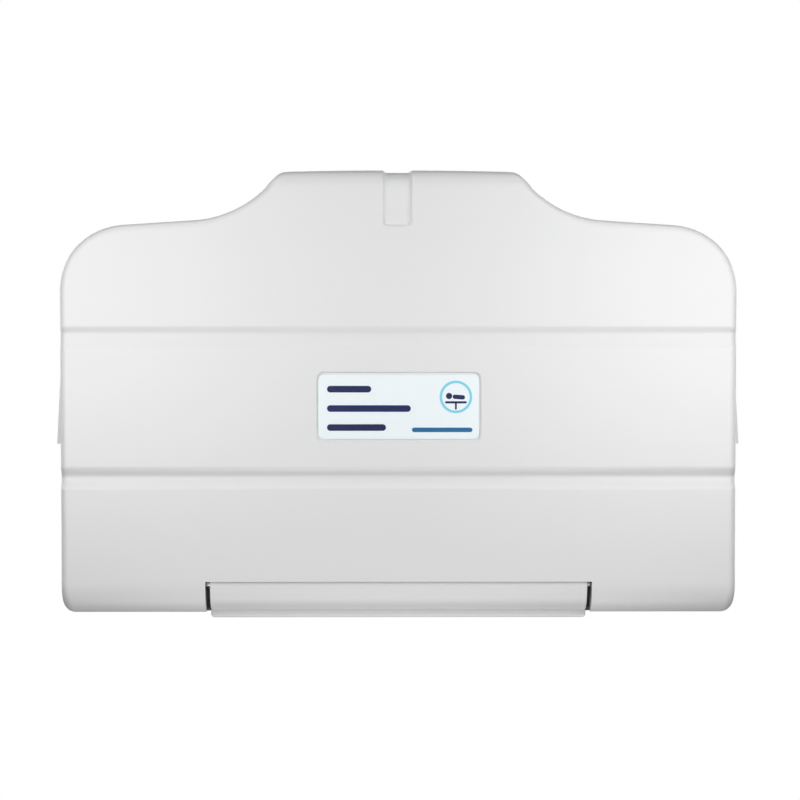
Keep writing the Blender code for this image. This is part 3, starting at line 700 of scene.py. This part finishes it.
def printed(name, parts, finish, body):
    """Printed marks as one piece."""
    made = piece(name, joined(*parts), finish)
    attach(made, body)


def printing_ink(name, colour):
    """Screen ink: even, slightly glossy, a little thinner in places."""
    made, shader, places = new_material(name)
    cover = places.noise(260, 2, 0.5)
    thin = tuple(c * 1.12 + 0.004 for c in colour) + (1,)
    feed(
        shader,
        Base_Color=cover.mixed(colour + (1,), thin),
        Roughness=0.34 + cover * 0.08,
        Normal=places.noise(1800, 1, 0.5).bump(0.1, 0.00005),
    )
    return made


label_face, label_shader, label_places = new_material("label_face")
label_cloud = label_places.noise(40, 3, 0.5)
feed(
    label_shader,
    Base_Color=label_cloud.mixed((0.87, 0.94, 0.97, 1), (0.90, 0.97, 0.99, 1)),
    Roughness=0.30 + label_cloud * 0.06,
    Normal=label_places.noise(1200, 2, 0.5).bump(0.12, 0.0001),
)
plate = piece(
    "sign_plate", rounded_block(label_low, label_high, 0.0075, 0.0004), label_face, flat_faces=True
)
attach(plate, "bed")
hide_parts("label_plate")

sign_y = label_low.y
navy_ink = printing_ink("navy_ink", navy)
teal_ink = printing_ink("teal_ink", teal)
blue_ink = printing_ink("pale_blue_ink", pale_blue)
bar_start, bar_height = -0.0925, 0.0085
bars = [(0.0050, 0.057), (-0.0200, 0.108), (-0.0445, 0.076)]     # z, length
marks = [bar(bar_start, bar_start + length, z, bar_height, sign_y) for z, length in bars]
sign_x, sign_z = 0.0737, -0.0050
ring_radius, ring_hole = 0.0210, 0.0178
marks += [                                  # head, body, table top and table leg
    disc(sign_x - 0.0088, sign_z + 0.0012, 0.0040, sign_y),
    bar(sign_x - 0.0042, sign_x + 0.0118, sign_z - 0.0002, 0.0056, sign_y, math.radians(4)),
    bar(sign_x - 0.0140, sign_x + 0.0140, sign_z - 0.0070, 0.0028, sign_y),
    bar(sign_x - 0.0050, sign_x + 0.0050, sign_z - 0.0115, 0.0024, sign_y, math.pi / 2),
]
printed("sign_marks", marks, navy_ink, "bed")
ring = disc(sign_x, sign_z, ring_radius, sign_y, ring_hole)
printed("sign_ring", [ring], blue_ink, "bed")
printed("sign_foot", [bar(0.0170, 0.0950, -0.0475, 0.0058, sign_y)], teal_ink, "bed")


# --------------------------------------------------------
# Pivot caps.
# Domed plastic caps that snap into the bed's sides and hide the shaft ends.
# --------------------------------------------------------
cap_collar, cap_foot = 0.30, 0.42           # shares of the cap's height where its dome starts
cap_chamfer, cap_inset, cap_fullness = 0.0004, 0.0010, 0.6
cap_steps = 10
for side, label in ((-1, "left"), (1, "right")):
    low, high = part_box(f"pivot_cap_{label}")
    radius, height = (high.z - low.z) / 2, high.x - low.x
    dome = [(0.0, 0.0), (0.0, radius), (height * cap_collar, radius)]
    dome.append((height * cap_foot, radius - cap_chamfer))
    for k in range(1, cap_steps):
        angle = math.pi / 2 * k / cap_steps
        rise = height * (cap_foot + (1 - cap_foot) * math.sin(angle))
        dome.append((rise, (radius - cap_inset) * math.cos(angle) ** cap_fullness))
    dome.append((height, 0.0))
    start_x = low.x if side > 0 else high.x
    cap = turned(dome, (start_x, hinge.y, hinge.z), (side, 0, 0), 64)
    made = piece(f"domed_cap_{label}", cap, bed_plastic, 50)
    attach(made, "bed")
    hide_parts(f"pivot_cap_{label}")


# --------------------------------------------------------
# Tray.
# The vacuum-formed lying surface inside the bed: a flange with a shallow basin,
# with a pebbled face that is wiped clean, welded into the shell's rim.
# --------------------------------------------------------
tray_y = shell_high.y
tray_inset = wall + 0.0003
tray_low = hinge.z + cove_radius + tray_inset
tray_sheet = 0.0028
basin_half, basin_low, basin_high = 0.397, hinge.z + 0.066, 0.192
basin_corner, basin_draft, basin_depth = 0.042, 0.012, 0.033
tray_floor = tray_y - basin_depth


def ring_of(half_x, low, high, radius, inset, y, steps=10):
    """Places round a rectangle with round corners, drawn in by an inset."""
    places = []
    half_x, low, high, radius = half_x - inset, low + inset, high - inset, radius - inset
    corners = ((1, low, -90), (1, high, 0), (-1, high, 90), (-1, low, 180))
    for side, z, turn in corners:
        middle = Vector((side * (half_x - radius), y, z + radius * (1 if z == low else -1)))
        for k in range(steps + 1):
            angle = math.radians(turn + 90 * k / steps)
            places.append(middle + Vector((math.cos(angle), 0, math.sin(angle))) * radius)
    return places


def face_between(loops):
    """Flat face between closed loops of places; gives the bmesh and the loops' vertices."""
    bm = bmesh.new()
    rings = [[bm.verts.new(place) for place in loop] for loop in loops]
    edges = [bm.edges.new(pair) for ring in rings for pair in zip(ring, ring[1:] + ring[:1])]
    bmesh.ops.triangle_fill(bm, use_beauty=True, use_dissolve=False, edges=edges)
    return bm, rings


def drawn_through(bm, ring, rows):
    """Extrudes a closed ring of vertices through rows of places, and gives the last ring."""
    for row in rows:
        spot = dict(zip(ring, row))
        edges = [bm.edges.get(pair) for pair in zip(ring, ring[1:] + ring[:1])]
        _, grown = draw_out(bm, edges, lambda old, fresh: spot[old])
        ring = [grown[vert] for vert in ring]
    return ring


def basin_section(rim_radius, floor_radius, steps=6):
    """(inset, depth) of the basin's wall, from its rounded rim to its rounded floor."""
    slope = math.atan2(tray_y - tray_floor, basin_draft)
    rim_run, floor_run = (r * math.tan(slope / 2) for r in (rim_radius, floor_radius))
    turns = [slope * k / steps for k in range(steps + 1)]
    points = [(rim_radius * math.sin(t) - rim_run, tray_y - rim_radius * (1 - math.cos(t))) for t in turns]
    last = basin_draft + floor_run
    points += [
        (last - floor_radius * math.sin(t), tray_floor + floor_radius * (1 - math.cos(t)))
        for t in reversed(turns)
    ]
    return points


section = basin_section(rim_radius=0.0045, floor_radius=0.0100)
rows = [ring_of(basin_half, basin_low, basin_high, basin_corner, inset, y) for inset, y in section]
right_half = [Vector((side_x - tray_inset, tray_y, tray_low))]
for point, normal in zip(outline, outward):
    inset_point = point - normal * tray_inset
    right_half.append(Vector((inset_point.x, tray_y, inset_point.y)))
left_half = [Vector((-p.x, p.y, p.z)) for p in reversed(right_half[:-1])]
tray_edge = right_half + left_half
for place in tray_edge:
    place.z -= dip_at(place.x, place.z + tray_inset)
tray_mesh, (_, basin_ring) = face_between([tray_edge, rows[0]])
basin_ring = drawn_through(tray_mesh, basin_ring, rows[1:])
tray_mesh.faces.new(basin_ring)
bmesh.ops.recalc_face_normals(tray_mesh, faces=tray_mesh.faces)
tray_plastic = moulded_plastic("tray_plastic", (0.74, 0.74, 0.725), 0.48, 620, 0.008, 0.55)
tray = piece("lying_tray", tray_mesh, tray_plastic, 38, Vector((0, 1, 0)))
thicken(tray, tray_sheet)
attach(tray, "bed")
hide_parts("bed_inner_tray")


# --------------------------------------------------------
# Waist strap.
# Two lengths of black woven webbing, sewn to moulded anchors and to the halves
# of a push-button buckle.
# --------------------------------------------------------
home = {node: body for body, nodes in frame["record"]["behaviour"]["bodies"].items() for node in nodes}


def softened(node, width, finish, steps=2, sharp=30):
    """A CAD piece with its triangles joined and its edges rounded."""
    bm = bmesh.new()
    bm.from_mesh(frame["nodes"][node].data)
    bmesh.ops.remove_doubles(bm, verts=bm.verts, dist=1e-6)
    bmesh.ops.dissolve_limit(bm, angle_limit=math.radians(0.5), verts=bm.verts, edges=bm.edges)
    edges = [e for e in bm.edges if e.calc_face_angle(0) > math.radians(sharp)]
    round_off(bm, edges, width, steps, clamp=True)
    made = piece(f"{node}_piece", bm, finish, 38, flat_faces=True)
    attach(made, home[node])
    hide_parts(node)
    return made


webbing, webbing_shader, webbing_places = new_material("webbing")
across = webbing_places.node("ShaderNodeSeparateXYZ", {0: webbing_places})
along = webbing_places.node("ShaderNodeSeparateXYZ", {0: webbing_places}, output=2)


def ribs(value, pitch):
    """Rounded ridges a pitch apart, from 0 to 1."""
    return (value * (2 * math.pi / pitch)).sine() * 0.5 + 0.5


warp = ribs(across, 0.0016)
weft = ribs(along + across * 0.5, 0.0022)
# The weave's height also sets the yarn's colour: lighter on the ridges and darker in the hollows, a painted sheen
# and painted shade on the one black yarn.
weave_relief_and_sheen = warp * 0.55 + weft * 0.45
fuzz = webbing_places.noise(2500, 3, 0.6)
feed(
    webbing_shader,
    Base_Color=(weave_relief_and_sheen * 0.8 + fuzz * 0.3).mixed((0.008, 0.009, 0.011, 1), (0.085, 0.090, 0.100, 1)),
    Roughness=0.62 + fuzz * 0.25,
    Normal=(weave_relief_and_sheen + fuzz * 0.35).bump(0.8, 0.00035),
)
thread, thread_shader, thread_places = new_material("sewing_thread")
twist = ribs(thread_places.node("ShaderNodeSeparateXYZ", {0: thread_places}, output=2), 0.0005)
feed(
    thread_shader,
    Base_Color=twist.mixed((0.05, 0.052, 0.058, 1), (0.14, 0.145, 0.155, 1)),
    Roughness=0.55 + twist * 0.15,
)
black_plastic = moulded_plastic("black_plastic", (0.020, 0.020, 0.022), 0.36, 1400, 0.02, 0.3)
stitch_pitch = 0.0036
stitch_size = (0.0006, 0.0006, 0.0026)


def stitched_box(middle_z, half_x, half_z, y):
    """Lines of lock stitches round a box where a strap is sewn to itself."""
    whole = bmesh.new()
    a, b = Vector((-half_x, -half_z)), Vector((-half_x, half_z))
    c, d = Vector((half_x, half_z)), Vector((half_x, -half_z))
    lines = [(a, b), (d, c), (a, d), (b, c), (a, c), (b, d)]
    for start, end in lines:
        count = max(2, round((end - start).length / stitch_pitch))
        turn = math.atan2(end.x - start.x, end.y - start.y)
        for k in range(count):
            place = start.lerp(end, (k + 0.5) / count)
            made = bmesh.ops.create_icosphere(whole, subdivisions=1, radius=0.5)["verts"]
            bmesh.ops.scale(whole, vec=stitch_size, verts=made)
            bmesh.ops.rotate(whole, cent=(0, 0, 0), matrix=Matrix.Rotation(turn, 3, "Y"), verts=made)
            bmesh.ops.translate(whole, vec=(place.x, y, middle_z + place.y), verts=made)
    return whole


strap_wave, strap_sheet, strap_sink = 0.0004, 0.0012, 0.30
seam_from_end, seam_half = 0.014, (0.0145, 0.0095)
for label, sewn_end in (("upper", 1), ("lower", -1)):
    low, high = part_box(f"strap_{label}")
    middle, half = (low + high) / 2, (high - low) / 2
    face_y = middle.y + half.y * strap_sink
    strap = bmesh.new()
    bmesh.ops.create_grid(strap, x_segments=12, y_segments=90, size=1.0)
    for vert in strap.verts:
        x, t, _ = vert.co
        lift = strap_wave * math.sin(7.5 * t + sewn_end) * (1 - t * t)
        vert.co = (x * half.x, face_y + lift, middle.z + t * half.z)
    made = piece(f"webbing_{label}", strap, webbing, 40, Vector((0, 1, 0)))
    thicken(made, strap_sheet)
    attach(made, "bed")
    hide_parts(f"strap_{label}")
    for place, end in (("anchor", sewn_end), ("buckle", -sewn_end)):
        seam_z = middle.z + end * (half.z - seam_from_end)
        seam = stitched_box(seam_z, *seam_half, face_y)
        made = piece(f"stitches_{label}_{place}", seam, thread, 40)
        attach(made, "bed")

softened("strap_anchor_upper", 0.0008, black_plastic, 3)
softened("strap_anchor_lower", 0.0008, black_plastic, 3)
softened("buckle_socket", 0.0006, black_plastic, 2)
softened("buckle_tongue", 0.0006, black_plastic, 2)
button_red = moulded_plastic("button_red", (0.48, 0.022, 0.016), 0.34, 1500, 0.02, 0.2)
softened("buckle_button", 0.0005, button_red, 3)


# --------------------------------------------------------
# Rear housing.
# The fixed back of the station, moulded in one piece with round side bulges
# over the struts, and held to the wall through its rails.
# --------------------------------------------------------
softened("rear_housing", 0.0012, bed_plastic, 3)


# --------------------------------------------------------
# Liner dispenser.
# A moulded box clipped to the housing. Folded paper liners are drawn down
# through the rounded slot in its front.
# --------------------------------------------------------
box_low, box_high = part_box("liner_dispenser")
box_half = box_high.x
box_corner, box_edge, box_wall = 0.0120, 0.0045, 0.0024
slot_shape = (0.105, 0.044, 0.068, 0.0118)
slot_edge, slot_depth = 0.0016, 0.0055


def box_ring(inset, y):
    return ring_of(box_half, box_low.z, box_high.z, box_corner, inset, y)


def slot_ring(inset, y):
    return ring_of(*slot_shape, inset, y)


def quarter_round(radius, steps=7):
    """(inset, depth) along a rounded edge, from the face to the side."""
    turns = (math.pi / 2 * k / steps for k in range(steps + 1))
    return [(radius * (1 - math.sin(t)), radius * (1 - math.cos(t))) for t in turns]


box_rows = [box_ring(inset, box_low.y + depth) for inset, depth in quarter_round(box_edge)]
box_rows.append(box_ring(0.0, box_high.y))
slot_rows = [slot_ring(-inset, box_low.y + depth) for inset, depth in quarter_round(slot_edge)]
slot_rows.append(slot_ring(0.0, box_low.y + slot_depth))
case, (case_ring, mouth_ring) = face_between([box_rows[0], slot_rows[0]])
drawn_through(case, case_ring, box_rows[1:])
drawn_through(case, mouth_ring, slot_rows[1:])
bmesh.ops.recalc_face_normals(case, faces=case.faces)
dispenser = piece("dispenser_case", case, tray_plastic, 38, Vector((0, -1, 0)))
thicken(dispenser, box_wall)
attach(dispenser, "wall_unit")
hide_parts("liner_dispenser")

paper, paper_shader, paper_places = new_material("paper")
fibres = paper_places.noise(500, 4, 0.65, stretch=(0.3, 1, 1))
creases = paper_places.noise(30, 2, 0.5)
# The fibres give the paper its own grain; the crease relief also darkens the colour in its hollows, which is
# painted shade.
feed(
    paper_shader,
    Base_Color=(fibres * 0.6 + creases * 0.4).mixed((0.66, 0.655, 0.62, 1), (0.86, 0.86, 0.84, 1)),
    Roughness=0.86 + fibres * 0.1,
    Normal=(fibres * 0.5 + creases).bump(0.5, 0.0004),
)
stack_low, stack_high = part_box("liner_stack")
fold_count, fold_share = 22, 0.86           # folded sheets, and how much of its room each fills
fold = (stack_high.y - stack_low.y) / fold_count
stray, stack_gap = 0.0012, 0.0010           # sideways drift, and play over and under the stack
sheets = []
for k in range(fold_count):
    drift = stray * math.sin(2.4 * k)
    y = stack_low.y + fold * k
    low = (stack_low.x + stray + drift, y, stack_low.z + stack_gap + abs(drift))
    top = stack_high.z - stack_gap - abs(drift) * 2
    high = (stack_high.x - stray + drift, y + fold * fold_share, top)
    sheets.append(rounded_block(low, high, 0.0015, 0.0, 3))
made = piece("folded_liners", joined(*sheets), paper, 40)
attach(made, "wall_unit")
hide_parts("liner_stack")


# --------------------------------------------------------
# Bag hooks and instruction panel.
# Two moulded hooks screwed to the back wall, and a printed sheet under them
# that shows in plain signs how to open the bed, lay the child and fasten the strap.
# --------------------------------------------------------
for label in ("left", "right"):
    softened(f"bag_hook_{label}", 0.0014, tray_plastic, 3)

panel_low, panel_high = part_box("instruction_panel")
made = piece("instruction_sheet", rounded_block(panel_low, panel_high, 0.008, 0.0004), label_face)
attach(made, "wall_unit")
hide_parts("instruction_panel")

sheet_y = panel_low.y
frame_wide, frame_tall = 0.0385, 0.0480     # half sizes of the three frames
frame_line, frame_z = 0.0011, -0.0900
first, second, third = -0.0865, 0.0, 0.0865
upright = math.pi / 2


def stroke(middle, start, end, z, height, tilt=0.0):
    """Bar in a frame, by its places from the frame's middle."""
    return bar(middle + start, middle + end, frame_z + z, height, sheet_y, tilt)


signs = []
for x in (first, second, third):
    for z in (-frame_tall, frame_tall):
        signs.append(stroke(x, -frame_wide, frame_wide, z, frame_line))
    for edge_x in (x - frame_wide, x + frame_wide):
        signs.append(stroke(edge_x, -frame_tall, frame_tall, 0, frame_line, upright))
signs += [                                  # bed let down, child laid on it, strap fastened
    stroke(first, -0.048, -0.008, 0.004, 0.0030, upright),
    stroke(first, -0.026, 0.022, -0.022, 0.0036),
    stroke(first, -0.002, 0.014, 0.004, 0.0016, math.radians(50)),
    disc(first + 0.0125, frame_z - 0.0025, 0.0028, sheet_y),
    stroke(second, -0.0125, 0.0200, 0.003, 0.0100),
    stroke(third, -0.0125, -0.0010, 0.003, 0.0100),
    stroke(third, 0.0075, 0.0200, 0.003, 0.0100),
    stroke(third, -0.0060, 0.0125, 0.003, 0.0040, upright),
]
for x in (second, third):                   # head, table top and table leg
    signs += [
        disc(x - 0.0200, frame_z + 0.006, 0.0064, sheet_y),
        stroke(x, -0.0310, 0.0310, -0.010, 0.0036),
        stroke(x, -0.0110, 0.0110, -0.0235, 0.0030, upright),
    ]
printed("sheet_signs", signs, navy_ink, "wall_unit")
bands = [bar(-0.122, 0.122, -0.022, 0.0110, sheet_y)]
bands += [stroke(x, -0.016, 0.016, -0.0590, 0.0040) for x in (first, second, third)]
printed("sheet_bands", bands, teal_ink, "wall_unit")


# --------------------------------------------------------
# Rails and brackets.
# Zinc-plated steel: the rails are screwed to the wall, the brackets welded to
# them carry the shaft and the struts, and the arms turn with the bed.
# --------------------------------------------------------
def metal(name, dark, light, roughness, scale, stretch=(1, 1, 1), scratch=0.15):
    """Bare or plated metal with cloudy colour and fine marks of its making."""
    made, shader, places = new_material(name)
    clouds = places.noise(scale, 3, 0.6)
    marks = places.noise(scale * 18, 3, 0.6, stretch=stretch)
    tone = clouds * 0.7 + marks * 0.3
    feed(
        shader,
        Metallic=1.0,
        Base_Color=tone.mixed(dark + (1,), light + (1,)),
        Roughness=roughness + (clouds - 0.5) * 0.22 + (marks - 0.5) * 0.10,
        Normal=marks.bump(scratch, 0.00012),
    )
    return made


zinc = metal("zinc_plate", (0.33, 0.34, 0.36), (0.56, 0.57, 0.59), 0.44, 60)
for label in ("left", "right"):
    softened(f"mounting_rail_{label}", 0.0005, zinc)
    softened(f"shaft_bracket_{label}", 0.0004, zinc)
    softened(f"strut_bracket_{label}", 0.0004, zinc)
    softened(f"hinge_arm_{label}", 0.0004, zinc)


# --------------------------------------------------------
# Shaft, bushes and pins.
# A drawn steel shaft fixed in the brackets; bronze bushes in the arms turn on
# it, and steel pins join the struts.
# --------------------------------------------------------
steel = metal("bright_steel", (0.46, 0.46, 0.47), (0.66, 0.66, 0.67), 0.26, 45, (12, 1, 1), 0.10)
bronze = metal("bronze", (0.34, 0.20, 0.085), (0.56, 0.37, 0.17), 0.36, 90, (1, 6, 6), 0.12)
shaft_low, shaft_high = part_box("hinge_shaft")
shaft_radius = (shaft_high.z - shaft_low.z) / 2
shaft_chamfer, bush_gap, bush_rim = 0.0010, 0.0003, 0.0005
rim_radius = shaft_radius - shaft_chamfer
profile = [(shaft_low.x, 0.0), (shaft_low.x, rim_radius), (shaft_low.x + shaft_chamfer, shaft_radius)]
profile += [(shaft_high.x - shaft_chamfer, shaft_radius), (shaft_high.x, rim_radius), (shaft_high.x, 0.0)]
made = piece("drawn_shaft", turned(profile, (0, hinge.y, hinge.z), (1, 0, 0), 64), steel)
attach(made, "wall_unit")
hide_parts("hinge_shaft")
for label in ("left", "right"):
    low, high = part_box(f"hinge_bush_{label}")
    outer, bore, rim = (high.z - low.z) / 2, shaft_radius + bush_gap, bush_rim
    tube = [(low.x, bore + rim), (low.x, outer - rim), (low.x + rim, outer), (high.x - rim, outer)]
    tube += [(high.x, outer - rim), (high.x, bore + rim), (high.x - rim, bore), (low.x + rim, bore)]
    bush = turned(tube, (0, hinge.y, hinge.z), (1, 0, 0), 64, closed=True)
    made = piece(f"turned_bush_{label}", bush, bronze)
    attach(made, "bed")
    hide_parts(f"hinge_bush_{label}")
    softened(f"crank_pin_{label}", 0.0003, steel)
    softened(f"strut_pin_{label}", 0.0003, steel)


# --------------------------------------------------------
# Gas struts.
# Black-enamelled cylinders hung from the upper brackets, and polished rods
# that the cranks push up as the bed comes down.
# --------------------------------------------------------
enamel, enamel_shader, enamel_places = new_material("strut_black")
enamel_cloud = enamel_places.noise(140, 3, 0.55)
feed(
    enamel_shader,
    Base_Color=enamel_cloud.mixed((0.012, 0.012, 0.013, 1), (0.028, 0.028, 0.030, 1)),
    Roughness=0.20 + enamel_cloud * 0.14,
    Normal=enamel_places.noise(120, 2, 0.5).bump(0.05, 0.0002),
    Coat_Weight=0.4,
)
radius, bore, core = 0.0085, 0.0047, 0.00047        # of the barrel, its mouth and its filled end
mouth_edge, mouth_depth = 0.0012, 0.0200
crimp, crimp_depth = (0.0060, 0.0066, 0.0078, 0.0084), 0.0005
neck_radius, neck_from_pin = 0.0046, 0.0225
shoulder_rise, shoulder_inset, shoulder_steps = 0.0030, 0.0035, 6
eye_half, eye_bore, eye_rim, eye_overlap = 0.0050, 0.0044, 0.0006, 0.7
for label in ("left", "right"):
    low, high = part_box(f"strut_cylinder_{label}")
    pin_low, pin_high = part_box(f"strut_pin_{label}")
    pin = (pin_low + pin_high) / 2
    eye_radius = high.z - pin.z
    shoulder = pin.z - neck_from_pin - shoulder_rise - low.z
    tube_top = pin.z - eye_radius * eye_overlap - low.z
    profile = [(0.0, bore), (0.0, radius - mouth_edge), (mouth_edge, radius), (crimp[0], radius)]
    profile += [(crimp[1], radius - crimp_depth), (crimp[2], radius - crimp_depth), (crimp[3], radius)]
    profile.append((shoulder, radius))
    for k in range(1, shoulder_steps + 1):
        angle = math.pi / 2 * k / shoulder_steps
        rise = shoulder + shoulder_rise * math.sin(angle)
        profile.append((rise, radius - shoulder_inset * (1 - math.cos(angle))))
    profile += [(tube_top, neck_radius), (tube_top, core), (mouth_depth, core), (mouth_depth, bore)]
    barrel = turned(profile, (pin.x, pin.y, low.z), (0, 0, 1), 48, closed=True)
    rim = eye_radius - eye_rim
    ring = [(-eye_half, eye_bore), (-eye_half, rim), (-eye_half + eye_rim, eye_radius)]
    ring += [(eye_half - eye_rim, eye_radius), (eye_half, rim), (eye_half, eye_bore)]
    eye = turned(ring, pin, (1, 0, 0), 48, closed=True)
    made = piece(f"strut_tube_{label}", joined(barrel, eye), enamel, 30)
    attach(made, "wall_unit")
    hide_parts(f"strut_cylinder_{label}")
    softened(f"strut_rod_{label}", 0.0003, steel)


# --------------------------------------------------------
# Wall screws.
# Zinc-bright hexagon screws through flat washers, two in each rail.
# --------------------------------------------------------
for number in range(1, 5):
    softened(f"wall_screw_{number}", 0.0004, steel)
    softened(f"wall_washer_{number}", 0.0002, steel)
